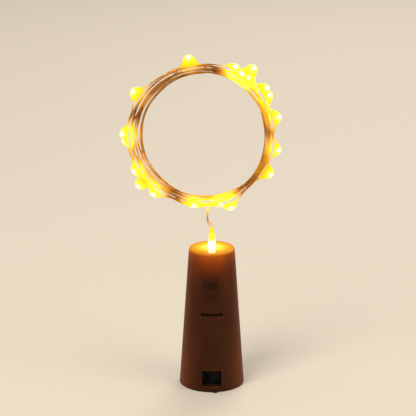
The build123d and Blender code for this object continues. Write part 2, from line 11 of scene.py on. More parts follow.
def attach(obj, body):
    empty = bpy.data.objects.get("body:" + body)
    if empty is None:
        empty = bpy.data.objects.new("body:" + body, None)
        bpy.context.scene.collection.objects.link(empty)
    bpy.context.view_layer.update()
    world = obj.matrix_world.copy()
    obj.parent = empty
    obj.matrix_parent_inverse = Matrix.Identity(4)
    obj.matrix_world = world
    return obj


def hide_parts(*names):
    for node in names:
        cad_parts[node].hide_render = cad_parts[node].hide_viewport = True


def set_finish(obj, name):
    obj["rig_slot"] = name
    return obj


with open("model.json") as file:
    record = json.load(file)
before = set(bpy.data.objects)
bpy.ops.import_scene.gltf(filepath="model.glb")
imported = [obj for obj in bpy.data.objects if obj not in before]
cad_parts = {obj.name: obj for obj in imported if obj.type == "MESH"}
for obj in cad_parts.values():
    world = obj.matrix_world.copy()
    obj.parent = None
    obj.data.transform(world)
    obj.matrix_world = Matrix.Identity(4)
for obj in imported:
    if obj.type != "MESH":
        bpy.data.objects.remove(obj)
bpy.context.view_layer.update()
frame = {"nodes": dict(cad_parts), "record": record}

# A cork bottle light: a translucent brown cork, and a lit copper string
# that is wound into an upright ring above it.
# Metres, +Z up, with the front towards -Y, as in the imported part.

MM = 0.001
FRONT = -1
BACK = 1
scene = bpy.context.scene

# Camera
EYE = Vector((0.0, -669.4, 264.7)) * MM
LOOK_AT = Vector((-1.4, 0.0, 67.5)) * MM
LENS = 165.4
SENSOR = 36.0
NEAR_CLIP = 10 * MM

# Cork
CORK_HEIGHT = 52.6 * MM
CORK_TAPER = 3.6 / 52.6      # of the radius, along the height

# Wire: two strands laid round each other
WIRE_DIAMETER = 0.6 * MM
STRAND_DIAMETER = 0.36 * MM
STRAND_LAY = 36.0 * MM       # length of wire over which the strands go round once
STRAND_START = pi / 3
STRAND_RESOLUTION = 1
WIRE_GLOW_REACH = 9.5 * MM   # of the lamps' light along the wire

# Lead from the tip of the exit lamp to the ring
LEAD_LIGHT = Vector((0.0, 0.0, 56.2)) * MM    # in the exit lamp's drop, from where the lead is lit
# Its route, in mm
LEAD_POINTS = [
    (0.0, 0.0, 59.8), (-0.15, -0.1, 60.8), (-1.3, -0.4, 62.0), (-1.6, -1.0, 63.8), (-1.62, -1.8, 66.0),
    (-1.6, -2.7, 68.4), (-0.9, -3.1, 70.0), (0.6, -2.9, 71.4), (3.6, -2.4, 72.4),
]
# Eyes between its strands, in mm: place along it, half length, extra offset of each strand
STRAND_EYES = [(0.7, 2.9, 0.5), (5.5, 6.0, 0.06), (8.8, 1.8, 0.55)]

# Winding of the ring
RING_CENTRE = Vector((-3.85, 0.0, 94.7)) * MM
RING_OUTER_RADIUS = 26.5 * MM
RING_START = -74.0           # degrees from +X, as all angles on the ring
TURNS_PER_LAYER = 3
LAYER_COUNT = 4
LAYER_PITCH = 1.1 * MM
TOTAL_TURNS = TURNS_PER_LAYER * LAYER_COUNT
CLIMB_TURNS = 0.5            # over which the wire goes from one layer to the next
TUCK_TURNS = 0.25            # over which the wire comes out from the inside of the bundle
FIRST_TURN_MARK = 0.05       # in turns: up to there the lead's own points hold
POINTS_PER_TURN = 16
ROUTE_RESOLUTION = 10
# The bundle's width, and how far its loose turns bulge out past the ring: mm, at each eighth of a turn
BUNDLE_WIDTHS = [3.6, 3.5, 4.9, 6.9, 7.1, 6.1, 3.9, 2.1]
BUNDLE_BULGES = [0.0, 0.1, 1.0, 1.4, 1.3, 0.3, 0.1, 0.1]
# Looseness of the wire, as waves of a height, so many to a turn, from a phase
RADIUS_SLACK = 0.05          # as a share of the bundle's width
RADIUS_WAVES = [(1.0, 0.37, 0.0), (1.0, 1.31, 2.0), (0.6, 2.17, 4.0)]
DEPTH_SLACK = 0.22 * MM
DEPTH_WAVES = [(1.0, 0.53, 1.0), (1.0, 1.73, 3.0)]

# Lamps on the ring, in the order of the wire: degrees, mm from the ring's middle, turn, face of the ring
Lamp = namedtuple("Lamp", "degrees distance turn face")
LAMPS = [
    Lamp(145.1, 29.5, 0, FRONT), Lamp(15.5, 28.8, 1, FRONT), Lamp(-129.4, 27.3, 1, FRONT),
    Lamp(98.7, 29.6, 2, FRONT), Lamp(-9.6, 28.2, 3, FRONT), Lamp(-152.6, 27.2, 3, FRONT),
    Lamp(58.5, 27.5, 4, FRONT), Lamp(-67.3, 28.5, 5, FRONT), Lamp(177.3, 28.3, 5, FRONT),
    Lamp(36.4, 29.2, 6, BACK), Lamp(-95.6, 25.5, 6, FRONT), Lamp(51.6, 26.8, 7, BACK),
    Lamp(30.9, 28.7, 8, BACK), Lamp(-139.7, 30.0, 8, BACK), Lamp(52.7, 31.0, 9, BACK),
    Lamp(-30.9, 29.4, 10, BACK), Lamp(-175.8, 28.0, 10, BACK), Lamp(63.8, 27.9, 11, BACK),
    Lamp(-74.3, 25.9, 11, FRONT),
]
FACE_DEPTH = 2.3 * MM        # how far a lamp's stretch lies in front of the ring's middle, or behind it
SWING_TURNS = 0.09           # over which the wire comes out of the bundle to its lamp
APEX_DEGREES = 1.8           # from a lamp to the end of the flat top of its tent of wire
TENT_DEGREES = 9.0           # from a lamp to the foot of that tent
CLEAR_DEGREES = 16.5         # from a lamp to the nearest plain point of the winding

# Drops on the ring: epoxy along the wire, with a flat web in the wire's bend and a chip inside
DROP_RADIUS = 1.02 * MM
DROP_TAIL_RADIUS = 0.36 * MM
DROP_HALF_LENGTH = 3.4 * MM
DROP_POWER = 1.9             # of the curve by which a drop thins out
DROP_POINTS = 12
DROP_RESOLUTION = 6
WEB_THICKNESS = 0.9 * MM
WEB_BEVEL = 0.4 * WEB_THICKNESS
WEB_TOP = 0.6 * MM           # out from the lamp's middle
WEB_LEAST_HEIGHT = 1.5 * MM
WEB_FULL_HEIGHT = 2.5 * MM   # from which on the web has its full width
WEB_HALF_WIDTH = 3.3 * MM
CHIP_SIZE = Vector((0.9, 0.7, 0.8)) * MM
CHIP_BEVEL = 0.12 * MM
HEART_DEPTH = 0.9 * MM       # from a drop's middle to the white heart on its front and on its back
HEART_RISE = 0.2 * MM        # of those hearts, away from the ring
DROP_GLOW_REACH = 6.5 * MM

# Drop at the exit: its stem in the hole, its full part round the chip, its neck and its rounded tip
EXIT_STEM_RADIUS = 1.0 * MM
EXIT_STEM_BOTTOM = 51.0 * MM
EXIT_FULL_RADIUS = 1.28 * MM
EXIT_FULL_HEIGHT = 54.6 * MM
EXIT_NECK_RADIUS = 0.92 * MM
EXIT_NECK_HEIGHT = 58.4 * MM
EXIT_ROUND_START = 59.0 * MM
EXIT_DROP_TOP = 60.05 * MM
EXIT_SIDE_STEPS = 10
EXIT_TIP_STEPS = 5
EXIT_ROUND_STEPS = 32
WELD_DISTANCE = 0.001 * MM
# Its white heart, as rings of lit places
EXIT_HEART = Vector((0.0, 0.0, 53.5)) * MM
EXIT_HEART_RADIUS = 1.1 * MM
EXIT_HEART_RISES = (-0.6 * MM, 0.4 * MM)
EXIT_HEART_COUNT = 8
EXIT_HEART_REACH = 1.6 * MM
EXIT_GLOW_REACH = 10.5 * MM

# Painted shade on the cork's front, where inner parts lie behind it, as soft rectangles:
# start, end and softness across it, the same up it, both in mm, and the depth of the painted shade
PAINTED_FRONT_SHADES = [
    ((-4.4, 3.8, 2.4), (33.0, 44.6, 2.6), 0.64),     # the arch round the contact tab
    ((-5.5, 5.5, 4.0), (-20.0, 40.0, 4.0), 0.42),    # the cells and the drawer
    ((-3.6, 2.8, 1.3), (38.4, 42.7, 1.3), 0.9),      # the contact tab
    ((-4.6, 4.6, 0.6), (10.2, 10.6, 0.3), 0.45),     # the seam over the window
]
FRONT_FADE = (-3 * MM, -6 * MM)                      # in y, over which that painted shade comes out
# Painted shade on the cork's inner wall, where less light falls:
INNER_FADE = (11.85 * MM, 11.6 * MM)                 # from the axis, at the foot of the inner wall
INNER_SPAN = (1.5, 50.0, 0.5)                        # in z, as above
PAINTED_INNER_SHADE = 0.85
EDGE_GLOW_FADE = (6.5 * MM, 12 * MM)                      # in x, to where the wall is seen edge on, with a painted red glow

# Light in the cork's plastic
SIDE_FADE = 3.7 * MM                                 # over which the light in the wall falls to 37 %
SIDE_MIDDLE = (-4.5, 4.5, 2.0)                       # in x, where the wall is lit most
TOP_GLOW = (8.6 * MM, 0.5 * MM)                      # from the axis, from the rim to the brightest part
TOP_EDGE = (CORK_HEIGHT - 1.0 * MM, CORK_HEIGHT - 0.1 * MM)

# Floor and light
FLOOR_COLOUR = (0.72, 0.63, 0.5, 1)
FLOOR_HALF_SIZE = 4.0
WORLD_COLOUR = (1.0, 0.96, 0.9, 1)
WORLD_STRENGTH = 0.45
# Name, place, size and power
LIGHTS = [
    ("key_light", (-0.5, -0.7, 0.9), 0.6, 9.0),
    ("fill_light", (0.8, -0.5, 0.5), 0.8, 4.0),
    ("back_light", (0.2, 0.8, 0.8), 0.6, 4.0),
]


# Camera
def make_camera():
    camera = bpy.data.objects.new("camera", bpy.data.cameras.new("camera"))
    scene.collection.objects.link(camera)
    camera.location = EYE
    camera.rotation_mode = "QUATERNION"
    camera.rotation_quaternion = (LOOK_AT - EYE).to_track_quat("-Z", "Y")
    camera.data.lens = LENS
    camera.data.sensor_width = SENSOR
    camera.data.clip_start = NEAR_CLIP
    scene.camera = camera


make_camera()


# Route of the string
def eased(share):
    """A share of 0 to 1 that starts and ends gently."""
    share = min(1.0, max(0.0, share))
    return share * share * (3 - 2 * share)


def eased_between(eighths, degrees):
    """The length at an angle, eased between those at each eighth of a turn."""
    share = (degrees % 360) / 45
    here = int(share)
    ease = (1 - cos(pi * (share - here))) / 2
    return (eighths[here % 8] * (1 - ease) + eighths[(here + 1) % 8] * ease) * MM


def waves(parts, turns):
    return sum(height * sin(2 * pi * per_turn * turns + phase) for height, per_turn, phase in parts)


def lamp_turns(lamp):
    """The turns of wire from the start of the ring to a lamp."""
    return lamp.turn + ((lamp.degrees - RING_START) % 360) / 360


def bundle_radius(turns):
    """The radius of the loose wire, which spirals in and out through the bundle."""
    layer = min(int(turns / TURNS_PER_LAYER), LAYER_COUNT - 1)
    along = turns - layer * TURNS_PER_LAYER
    inward = along if layer % 2 == 0 else TURNS_PER_LAYER - along
    inward += (TURNS_PER_LAYER - inward) * (1 - eased(turns / TUCK_TURNS))
    share = (inward + turns / TOTAL_TURNS) / (TURNS_PER_LAYER + 1)
    width = eased_between(BUNDLE_WIDTHS, RING_START + 360 * turns)
    bulge = eased_between(BUNDLE_BULGES, RING_START + 360 * turns)
    slack = RADIUS_SLACK * width * waves(RADIUS_WAVES, turns)
    return RING_OUTER_RADIUS + bulge - width * share + slack


def bundle_depth(turns):
    """The depth of the loose wire, which climbs through the bundle where it reverses."""
    climbed = 0.0
    for reversal in range(TURNS_PER_LAYER, TOTAL_TURNS, TURNS_PER_LAYER):
        climbed += min(1.0, max(0.0, (turns - reversal) / CLIMB_TURNS + 0.5))
    middle = (LAYER_COUNT - 1) / 2
    return LAYER_PITCH * (climbed - middle) + DEPTH_SLACK * waves(DEPTH_WAVES, turns)


def winding(turns):
    """Radius and depth of the wire, which swings out of the bundle to each lamp."""
    radius = bundle_radius(turns)
    depth = bundle_depth(turns)
    for lamp in LAMPS:
        swing = eased(1 - abs(turns - lamp_turns(lamp)) / SWING_TURNS)
        radius += (RING_OUTER_RADIUS - radius) * swing
        depth += (FACE_DEPTH * lamp.face - depth) * swing
    return radius, depth


def ring_point(turns, radius, depth):
    angle = radians(RING_START + 360 * turns)
    return RING_CENTRE + Vector((radius * cos(angle), depth, radius * sin(angle)))


def lamp_place(lamp):
    """The middle of a lamp, at the top of its tent of wire."""
    radius = lamp.distance * MM * cos(radians(APEX_DEGREES))
    return ring_point(lamp_turns(lamp), radius, FACE_DEPTH * lamp.face)


def route_marks():
    """Points of the winding in turns, each with its lamp if it is at the top of a tent."""
    marks = []
    for step in range(1, TOTAL_TURNS * POINTS_PER_TURN):
        turns = step / POINTS_PER_TURN
        nearest = min(abs(turns - lamp_turns(lamp)) for lamp in LAMPS) * 360
        if turns > FIRST_TURN_MARK and nearest > CLEAR_DEGREES:
            marks.append((turns, None))
    for lamp in LAMPS:
        middle = lamp_turns(lamp)
        marks.append((middle - TENT_DEGREES / 360, None))
        marks.append((middle - APEX_DEGREES / 360, lamp))
        marks.append((middle + APEX_DEGREES / 360, lamp))
        if lamp is not LAMPS[-1]:
            marks.append((middle + TENT_DEGREES / 360, None))
    return sorted(marks, key=lambda mark: mark[0])


def route_points():
    """The lead's points, then those of the ring."""
    points = [Vector(point) * MM for point in LEAD_POINTS]
    for turns, lamp in route_marks():
        radius, depth = winding(turns)
        points.append(ring_point(turns, lamp.distance * MM if lamp else radius, depth))
    return points


def curve_mesh(curve):
    """The mesh that Blender makes of a curve, with the curve put away."""
    holder = bpy.data.objects.new("holder", curve)
    mesh = bpy.data.meshes.new_from_object(holder)
    bpy.data.objects.remove(holder)
    bpy.data.curves.remove(curve)
    return mesh


def route_line():
    """Points along the smooth line of the string."""
    curve = bpy.data.curves.new("string_route", "CURVE")
    curve.dimensions = "3D"
    curve.resolution_u = ROUTE_RESOLUTION
    points = route_points()
    spline = curve.splines.new("NURBS")
    spline.points.add(len(points) - 1)
    for spot, place in zip(spline.points, points):
        spot.co = (*place, 1)
    spline.order_u = 3
    spline.use_endpoint_u = True
    mesh = curve_mesh(curve)
    line = [vertex.co.copy() for vertex in mesh.vertices]
    bpy.data.meshes.remove(mesh)
    return line


string_line = route_line()
lamp_places = [lamp_place(lamp) for lamp in LAMPS]


# Tools for the pieces
def outward_at(place):
    """Straight out from the ring's axis."""
    arm = place - RING_CENTRE
    return Vector((arm.x, 0, arm.z)).normalized()


def round_curve(name, radius, resolution):
    """An empty curve that its splines fill with round rods."""
    curve = bpy.data.curves.new(name, "CURVE")
    curve.dimensions = "3D"
    curve.bevel_depth = radius
    curve.bevel_resolution = resolution
    curve.use_fill_caps = True
    return curve


def add_spline(curve, places, radii):
    """A rod through some places, with a radius at each as a multiple of the curve's own."""
    spline = curve.splines.new("POLY")
    spline.points.add(len(places) - 1)
    for spot, place, radius in zip(spline.points, places, radii):
        spot.co = (*place, 1)
        spot.radius = radius


def round_edges(shape, edges, width, segments):
    bmesh.ops.bevel(shape, geom=list(edges), offset=width, affect="EDGES", segments=segments,
                    profile=0.5, material=-1)


def smooth_outside(shape):
    """Turns all faces outwards and shades them smooth."""
    bmesh.ops.recalc_face_normals(shape, faces=list(shape.faces))
    for face in shape.faces:
        face.smooth = True


def new_mesh(name, shape):
    mesh = bpy.data.meshes.new(name)
    shape.to_mesh(mesh)
    shape.free()
    return mesh


def add_piece(name, mesh, slot, *nodes):
    """A piece on the cork that stands for CAD nodes."""
    piece = bpy.data.objects.new(name, mesh)
    scene.collection.objects.link(piece)
    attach(piece, "cork")
    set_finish(piece, slot)
    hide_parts(*nodes)
    return piece


def lit_tree(places):
    """A search tree of lit places."""
    tree = KDTree(len(places))
    for number, place in enumerate(places):
        tree.insert(place, number)
    tree.balance()
    return tree


def mark_glow(mesh, places, reach, name="lamp_glow"):
    """Writes how near each point is to a lit place: 1 there, and 0 from the reach on."""
    tree = lit_tree(places)
    glow = mesh.attributes.new(name, "FLOAT", "POINT")
    for vertex, value in zip(mesh.vertices, glow.data):
        value.value = max(0.0, 1 - tree.find(vertex.co)[2] / reach)


def mark_light(mesh, places, reach):
    """Writes the light that each point gets from all lit places within reach, up to 1."""
    tree = lit_tree(places)
    glow = mesh.attributes.new("lamp_glow", "FLOAT", "POINT")
    for vertex, value in zip(mesh.vertices, glow.data):
        light = sum((1 - found[2] / reach) ** 2 for found in tree.find_range(vertex.co, reach))
        value.value = min(1.0, light)


# Wire
def strand_offset(along):
    """How far a strand lies from the middle of the pair, with the eyes of the lead."""
    offset = (WIRE_DIAMETER - STRAND_DIAMETER) / 2
    for middle, half_length, extra in STRAND_EYES:
        offset += extra * MM * eased(1 - abs(along - middle * MM) / (half_length * MM))
    return offset


def strand_places(line, phase):
    """A strand that winds round the line."""
    places = []
    along = 0.0
    side = Vector((0, 1, 0))
    for number, place in enumerate(line):
        ahead = line[min(number + 1, len(line) - 1)]
        behind = line[max(number - 1, 0)]
        heading = (ahead - behind).normalized()
        side = (side - heading * side.dot(heading)).normalized()
        if number:
            along += (place - line[number - 1]).length
        turn = 2 * pi * along / STRAND_LAY + phase
        across = side * cos(turn) + heading.cross(side) * sin(turn)
        places.append(place + across * strand_offset(along))
    return places


def make_wire():
    """The pair of strands, from the exit lamp's tip to the last lamp."""
    curve = round_curve("string_wire", STRAND_DIAMETER / 2, STRAND_RESOLUTION)
    for phase in (STRAND_START, STRAND_START + pi):
        places = strand_places(string_line, phase)
        add_spline(curve, places, [1.0] * len(places))
    mesh = curve_mesh(curve)
    mark_light(mesh, lamp_places + [LEAD_LIGHT], WIRE_GLOW_REACH)
    return add_piece("string_wire", mesh, "copper_wire", "string_lead", "string_coil")


# Lamps on the ring
def stretch(line, middle, half_length, count):
    """Points along the line to both sides of its place nearest to a middle, at even steps."""
    nearest = min(range(len(line)), key=lambda number: (line[number] - middle).length)
    sides = []
    for direction in (-1, 1):
        side = []
        here = nearest
        spot = line[nearest]
        left = half_length / count
        while len(side) < count and 0 <= here + direction < len(line):
            ahead = line[here + direction]
            gap = (ahead - spot).length
            if gap < left:
                left -= gap
                spot = ahead
                here += direction
            else:
                spot = spot + (ahead - spot) * (left / gap)
                side.append(spot)
                left = half_length / count
        sides.append(side)
    return sides[0][::-1] + [line[nearest]] + sides[1]


def drop_radius(distance):
    """The epoxy's radius at a distance from the middle of its drop."""
    share = min(1.0, distance / DROP_HALF_LENGTH)
    return DROP_TAIL_RADIUS + (DROP_RADIUS - DROP_TAIL_RADIUS) * (1 - share * share) ** DROP_POWER


def add_web(shape, lamp, middle):
    """The epoxy in the bend of the wire below a lamp: a flat fillet that widens towards the ring."""
    outward = outward_at(middle)
    height = max(WEB_LEAST_HEIGHT, lamp.distance * MM - RING_OUTER_RADIUS)
    half_width = WEB_HALF_WIDTH * min(1.0, height / WEB_FULL_HEIGHT)
    across = Vector((0, 1, 0)).cross(outward) * half_width
    middle = middle - Vector((0, WEB_THICKNESS / 2, 0))
    foot = middle - outward * height
    corners = [middle + outward * WEB_TOP, foot + across, foot - across]
    face = shape.faces.new([shape.verts.new(corner) for corner in corners])
    grown = bmesh.ops.extrude_face_region(shape, geom=[face], use_keep_orig=True)["geom"]
    raised = [item for item in grown if isinstance(item, bmesh.types.BMVert)]
    bmesh.ops.translate(shape, vec=(0, WEB_THICKNESS, 0), verts=raised)
    edges = []
    for vertex in list(face.verts) + raised:
        edges += [edge for edge in vertex.link_edges if edge not in edges]
    round_edges(shape, edges, WEB_BEVEL, 3)


def drop_hearts():
    """The white hearts of the drops, on their fronts and their backs."""
    hearts = []
    for place in lamp_places:
        heart = place + outward_at(place) * HEART_RISE
        hearts += [heart + Vector((0, HEART_DEPTH * face, 0)) for face in (FRONT, BACK)]
    return hearts


def make_ring_drops():
    """The epoxy drops along the wire, with their webs."""
    curve = round_curve("ring_lamp_drops", MM, DROP_RESOLUTION)
    for middle in lamp_places:
        places = stretch(string_line, middle, DROP_HALF_LENGTH, DROP_POINTS)
        add_spline(curve, places, [drop_radius((place - middle).length) / MM for place in places])
    mesh = curve_mesh(curve)
    shape = bmesh.new()
    shape.from_mesh(mesh)
    for lamp, middle in zip(LAMPS, lamp_places):
        add_web(shape, lamp, middle)
    smooth_outside(shape)
    shape.to_mesh(mesh)
    shape.free()
    mark_glow(mesh, drop_hearts(), DROP_GLOW_REACH)
    return add_piece("string_lamp_drops", mesh, "lamp_epoxy", "ring_lamp_drops")


def make_ring_chips():
    """The chip in each drop, square to the ring."""
    shape = bmesh.new()
    for middle in lamp_places:
        cube = bmesh.ops.create_cube(shape, size=1.0)["verts"]
        bmesh.ops.scale(shape, vec=CHIP_SIZE, verts=cube)
        turn = outward_at(middle).to_track_quat("Z", "Y").to_matrix()
        bmesh.ops.rotate(shape, matrix=turn, verts=cube)
        bmesh.ops.translate(shape, vec=middle, verts=cube)
    round_edges(shape, shape.edges, CHIP_BEVEL, 2)
    mesh = new_mesh("string_lamp_chips", shape)
    return add_piece("string_lamp_chips", mesh, "lamp_chip", "ring_lamp_chips")


wire = make_wire()
ring_drops = make_ring_drops()
ring_chips = make_ring_chips()


# Lamp at the exit
def exit_radius(height):
    """The exit drop's radius: full round the chip, narrow at the neck, and rounded off at the tip."""
    narrowed = eased((height - EXIT_FULL_HEIGHT) / (EXIT_NECK_HEIGHT - EXIT_FULL_HEIGHT))
    radius = EXIT_FULL_RADIUS + (EXIT_NECK_RADIUS - EXIT_FULL_RADIUS) * narrowed
    rounded = (height - EXIT_ROUND_START) / (EXIT_DROP_TOP - EXIT_ROUND_START)
    rounded = min(1.0, max(0.0, rounded))
    return radius * (1 - rounded * rounded) ** 0.5


def exit_side():
    """The exit drop's side as radius and height, from the bottom of its stem to its tip."""
    heights = []
    for step in range(EXIT_SIDE_STEPS):
        heights.append(CORK_HEIGHT + (EXIT_ROUND_START - CORK_HEIGHT) * step / EXIT_SIDE_STEPS)
    for step in range(EXIT_TIP_STEPS + 1):
        rounded = sin(pi / 2 * step / EXIT_TIP_STEPS)
        heights.append(EXIT_ROUND_START + (EXIT_DROP_TOP - EXIT_ROUND_START) * rounded)
    stem = [
        (0.0, EXIT_STEM_BOTTOM), (EXIT_STEM_RADIUS, EXIT_STEM_BOTTOM), (EXIT_STEM_RADIUS, CORK_HEIGHT),
    ]
    return stem + [(exit_radius(height), height) for height in heights]


def exit_hearts():
    """Lit places round the exit drop, which make up its white heart."""
    hearts = []
    for step in range(EXIT_HEART_COUNT):
        angle = 2 * pi * step / EXIT_HEART_COUNT
        for height in EXIT_HEART_RISES:
            out = Vector((EXIT_HEART_RADIUS * cos(angle), EXIT_HEART_RADIUS * sin(angle), height))
            hearts.append(EXIT_HEART + out)
    return hearts


def make_exit_drop():
    """The epoxy drop on the cork, drawn out along the wire."""
    shape = bmesh.new()
    corners = [shape.verts.new((radius, 0, height)) for radius, height in exit_side()]
    edges = [shape.edges.new(pair) for pair in zip(corners, corners[1:])]
    bmesh.ops.spin(shape, geom=corners + edges, cent=(0, 0, 0), axis=(0, 0, 1), angle=2 * pi,
                   steps=EXIT_ROUND_STEPS, use_merge=True)
    bmesh.ops.remove_doubles(shape, verts=list(shape.verts), dist=WELD_DISTANCE)
    smooth_outside(shape)
    mesh = new_mesh("exit_drop", shape)
    hearts = exit_hearts()
    mark_glow(mesh, hearts, EXIT_GLOW_REACH)
    mark_glow(mesh, hearts, EXIT_HEART_REACH, "lamp_heart")
    return add_piece("exit_drop", mesh, "lamp_epoxy", "exit_lamp_drop")


exit_drop = make_exit_drop()


# Tools for the materials
def new_material(name):
    material = bpy.data.materials.new(name)
    material.use_nodes = True
    return material, material.node_tree, material.node_tree.nodes["Principled BSDF"]


def add_node(tree, kind, **settings):
    node = tree.nodes.new(kind)
    for key, value in settings.items():
        setattr(node, key, value)
    return node


def feed(tree, socket, value):
    """Links a socket, or sets it to a plain value."""
    if isinstance(value, bpy.types.NodeSocket):
        tree.links.new(value, socket)
    else:
        socket.default_value = value


def feed_shader(tree, shader, **values):
    """Feeds a shader's sockets, which are named here with an underscore for each space."""
    for name, value in values.items():
        feed(tree, shader.inputs[name.replace("_", " ")], value)


def maths(tree, operation, first, second=0.0):
    node = add_node(tree, "ShaderNodeMath", operation=operation)
    feed(tree, node.inputs[0], first)
    feed(tree, node.inputs[1], second)
    return node.outputs[0]


def times(tree, first, second):
    return maths(tree, "MULTIPLY", first, second)


def between(tree, share, low, high):
    """Goes from low to high as the share goes from 0 to 1."""
    return maths(tree, "ADD", times(tree, share, high - low), low)


def rise(tree, value, start, end):
    """Goes smoothly from 0 to 1 as the value goes from start to end."""
    node = add_node(tree, "ShaderNodeMapRange", interpolation_type="SMOOTHSTEP")
    feed(tree, node.inputs["Value"], value)
    node.inputs["From Min"].default_value = start
    node.inputs["From Max"].default_value = end
    return node.outputs[0]


def band(tree, value, span):
    """1 between the start and the end of a span in mm, with edges as soft as the span's third number."""
    start, end, softness = [length * MM for length in span]
    up = rise(tree, value, start - softness, start + softness)
    down = rise(tree, value, end + softness, end - softness)
    return times(tree, up, down)


def ramp(tree, value, stops):
    """A colour ramp over a value, from (place, colour) stops."""
    node = add_node(tree, "ShaderNodeValToRGB")
    while len(node.color_ramp.elements) < len(stops):
        node.color_ramp.elements.new(0.5)
    for element, (place, colour) in zip(node.color_ramp.elements, stops):
        element.position = place
        element.color = (*colour, 1)
    tree.links.new(value, node.inputs[0])
    return node.outputs[0]


def blend_colour(tree, share, first, second):
    node = add_node(tree, "ShaderNodeMix", data_type="RGBA", blend_type="MIX")
    feed(tree, node.inputs["Factor"], share)
    feed(tree, node.inputs[6], first)
    feed(tree, node.inputs[7], second)
    return node.outputs[2]


def own_place(tree):
    """The x, y and z of the piece's own coordinates."""
    parts = add_node(tree, "ShaderNodeSeparateXYZ")
    tree.links.new(add_node(tree, "ShaderNodeTexCoord").outputs["Object"], parts.inputs[0])
    return parts.outputs[0], parts.outputs[1], parts.outputs[2]


def grain(tree, scale, detail=3.0):
    """Noise on the piece's own coordinates, with one scale or one for each axis."""
    place = add_node(tree, "ShaderNodeTexCoord")
    spread = add_node(tree, "ShaderNodeMapping")
    spread.inputs["Scale"].default_value = scale if isinstance(scale, tuple) else (scale, scale, scale)
    noise = add_node(tree, "ShaderNodeTexNoise")
    noise.inputs["Scale"].default_value = 1.0
    noise.inputs["Detail"].default_value = detail
    tree.links.new(place.outputs["Object"], spread.inputs["Vector"])
    tree.links.new(spread.outputs[0], noise.inputs["Vector"])
    return noise.outputs[0]


def mottle(tree, noise, dark, light, start=0.3, end=0.7):
    """A colour that wanders with the noise from a dark tone to a light one."""
    return ramp(tree, noise, [(start, dark), (end, light)])


def roughen(tree, shader, height, strength, distance):
    bump = add_node(tree, "ShaderNodeBump")
    bump.inputs["Strength"].default_value = strength
    bump.inputs["Distance"].default_value = distance
    tree.links.new(height, bump.inputs["Height"])
    tree.links.new(bump.outputs[0], shader.inputs["Normal"])


def marked(tree, name):
    """The value that was written at the mesh's points."""
    return add_node(tree, "ShaderNodeAttribute", attribute_name=name).outputs["Fac"]


# Finishes of the string
def copper_wire():
    """Enamelled copper, lit golden near the lamps."""
    material, tree, shader = new_material("copper_wire")
    near = marked(tree, "lamp_glow")
    light = ramp(tree, near, [
        (0.0, (0.5, 0.14, 0.003)), (0.25, (0.92, 0.48, 0.006)), (0.5, (1.0, 0.8, 0.012)),
    ])
    feed_shader(
        tree, shader, Metallic=1.0, Roughness=0.28,
        Base_Color=mottle(tree, grain(tree, 350), (0.36, 0.13, 0.025), (0.7, 0.33, 0.075)),
        Emission_Color=light, Emission_Strength=times(tree, near, 2.6))
    return material


def lamp_epoxy():
    """Clear epoxy over a lit chip: white at its heart, then yellow, and amber along the wire."""
    material, tree, shader = new_material("lamp_epoxy")
    near = marked(tree, "lamp_glow")
    light = ramp(tree, near, [
        (0.0, (0.8, 0.3, 0.002)), (0.4, (0.95, 0.5, 0.003)), (0.77, (1.0, 0.78, 0.01)),
        (0.87, (1.0, 0.9, 0.16)), (0.95, (1.0, 0.96, 0.8)),
    ])
    strength = between(tree, rise(tree, near, 0.55, 0.9), 0.9, 2.0)
    heart = times(tree, rise(tree, marked(tree, "lamp_heart"), 0.1, 0.5), 6.0)
    feed_shader(
        tree, shader, Base_Color=(0.5, 0.3, 0.006, 1), Roughness=0.16, Specular_IOR_Level=0.25,
        Emission_Color=light, Emission_Strength=maths(tree, "ADD", strength, heart))
    return material


def lamp_chip():
    """A lit chip with a pale phosphor."""
    material, tree, shader = new_material("lamp_chip")
    tint = mottle(tree, grain(tree, 3000), (1.0, 0.72, 0.2), (1.0, 0.88, 0.45))
    feed_shader(tree, shader, Base_Color=tint, Emission_Color=tint, Emission_Strength=6.0)
    return material


# Finish of the cork
def painted_cork_shade(tree, x, y, z, from_axis):
    """Painted shade on the cork: where inner parts lie behind its front, and on its inner wall."""
    shade = 0.0
    # Painted shade where inner parts lie behind the front
    for across, up, depth in PAINTED_FRONT_SHADES:
        shape = times(tree, band(tree, x, across), band(tree, z, up))
        shade = maths(tree, "MAXIMUM", shade, times(tree, shape, depth))
    shade = times(tree, shade, rise(tree, y, *FRONT_FADE))
    from_cone = maths(tree, "ADD", from_axis, times(tree, z, CORK_TAPER))
    # Painted shade on the inner wall
    inside = times(tree, rise(tree, from_cone, *INNER_FADE), band(tree, z, INNER_SPAN))
    return maths(tree, "MAXIMUM", shade, times(tree, inside, PAINTED_INNER_SHADE))


def cork_tint_with_painted_light(tree, x, shade):
    """Brown, with a painted red glow where the wall is edge on, and near black in painted shade."""
    tint = mottle(tree, grain(tree, (160, 160, 60), 4), (0.046, 0.0105, 0.0018), (0.07, 0.018, 0.0032))
    # Painted red glow where the wall is seen edge on
    painted_edge_glow = rise(tree, maths(tree, "ABSOLUTE", x), *EDGE_GLOW_FADE)
    tint = blend_colour(tree, times(tree, painted_edge_glow, 0.7), tint, (0.15, 0.034, 0.005, 1))
    # Painted shade darkens the colour almost to black
    return blend_colour(tree, shade, tint, (0.012, 0.004, 0.0012, 1))


def side_glow(tree, x, z, shade):
    """Colour and strength of the light in the wall, which fades downwards from the narrow end."""
    below_top = maths(tree, "SUBTRACT", z, CORK_HEIGHT)
    fall = maths(tree, "EXPONENT", maths(tree, "DIVIDE", below_top, SIDE_FADE))
    colour = ramp(tree, fall, [
        (0.0, (1.0, 0.09, 0.003)), (0.4, (1.0, 0.13, 0.003)), (1.0, (1.0, 0.24, 0.003)),
    ])
    middle = between(tree, band(tree, x, SIDE_MIDDLE), 0.6, 1.0)
    strength = times(tree, times(tree, fall, middle), 0.5)
    # The light in the wall is dimmed by the painted shade
    return colour, times(tree, strength, between(tree, shade, 1.0, 0.2))


